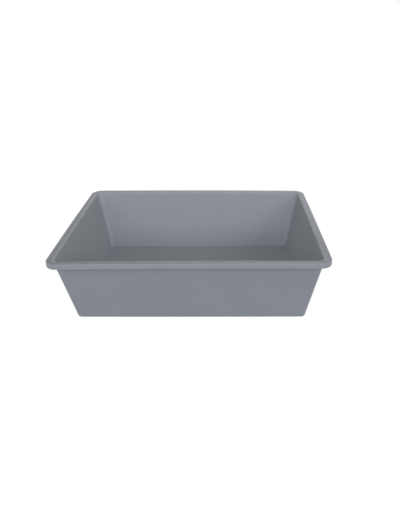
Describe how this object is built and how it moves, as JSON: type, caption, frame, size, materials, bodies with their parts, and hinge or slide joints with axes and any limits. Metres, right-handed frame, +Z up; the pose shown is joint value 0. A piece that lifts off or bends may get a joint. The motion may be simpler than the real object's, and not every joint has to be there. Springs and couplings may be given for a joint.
{
  "type": "cat litter box",
  "caption": "Open rectangular cat litter tray with tapered smooth walls, rounded corners, a flat floor and a wide rim turned down all round.",
  "frame": {"origin": "centre of the face that the tray stands on", "axes": "+X along the long sides, +Y from the front wall to the rear wall, +Z up out of the tray's mouth"},
  "size_m": [0.4, 0.3, 0.106],
  "materials": {
    "tray_plastic": "cool grey polypropylene, satin, with a fine moulded grain"
  },
  "bodies": {
    "root": {"litter_tray": "tray_plastic"}
  },
  "joints": []
}
